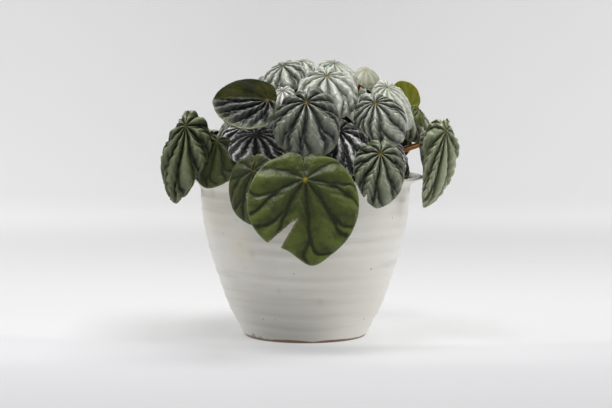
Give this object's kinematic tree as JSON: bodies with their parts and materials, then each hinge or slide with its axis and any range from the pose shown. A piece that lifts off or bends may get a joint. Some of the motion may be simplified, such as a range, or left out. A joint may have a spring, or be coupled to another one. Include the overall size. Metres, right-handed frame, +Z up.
{
  "type": "potted ripple peperomia",
  "caption": "Low bushy houseplant with rippled silver and dark green heart-shaped leaves on red stalks, growing in a tapered white glazed flower pot with a turned-out lip.",
  "frame": {"origin": "centre of the pot's flat base, on the surface that it stands on", "axes": "+Z up along the pot's axis, -Y towards the plant's front, where the largest leaf hangs over the lip, +X to the right seen from the front"},
  "size_m": [0.1611, 0.1628, 0.1527],
  "materials": {
    "glaze": "gloss",
    "soil": "matte",
    "stem": "satin",
    "silver_leaf": "satin",
    "green_leaf": "satin"
  },
  "bodies": {
    "root": {"blade_back_left": "silver_leaf", "blade_back_middle": "silver_leaf", "blade_back_right": "silver_leaf", "blade_back_upper_left": "silver_leaf", "blade_back_upper_right": "silver_leaf", "blade_front_torn": "green_leaf", "blade_left_back": "silver_leaf", "blade_left_dark": "silver_leaf", "blade_left_folded": "silver_leaf", "blade_left_side": "silver_leaf", "blade_left_trailing": "silver_leaf", "blade_low_right_dark": "silver_leaf", "blade_lower_left_long": "green_leaf", "blade_lower_left_small": "green_leaf", "blade_lower_right": "silver_leaf", "blade_middle_dark": "silver_leaf", "blade_right_back": "silver_leaf", "blade_right_centre": "silver_leaf", "blade_right_side": "silver_leaf", "blade_right_silver": "silver_leaf", "blade_right_trailing": "silver_leaf", "blade_right_upright": "green_leaf", "blade_small_top_right": "silver_leaf", "blade_top_back": "silver_leaf", "blade_top_centre": "silver_leaf", "blade_top_left": "silver_leaf", "blade_top_left_back": "silver_leaf", "blade_upper_front": "silver_leaf", "crown": "stem", "pot": "glaze", "soil": "soil", "stalk_back_left": "stem", "stalk_back_middle": "stem", "stalk_back_right": "stem", "stalk_back_upper_left": "stem", "stalk_back_upper_right": "stem", "stalk_front_torn": "stem", "stalk_left_back": "stem", "stalk_left_dark": "stem", "stalk_left_folded": "stem", "stalk_left_side": "stem", "stalk_left_trailing": "stem", "stalk_low_right_dark": "stem", "stalk_lower_left_long": "stem", "stalk_lower_left_small": "stem", "stalk_lower_right": "stem", "stalk_middle_dark": "stem", "stalk_right_back": "stem", "stalk_right_centre": "stem", "stalk_right_side": "stem", "stalk_right_silver": "stem", "stalk_right_trailing": "stem", "stalk_right_upright": "stem", "stalk_small_top_right": "stem", "stalk_top_back": "stem", "stalk_top_centre": "stem", "stalk_top_left": "stem", "stalk_top_left_back": "stem", "stalk_upper_front": "stem"}
  },
  "joints": []
}
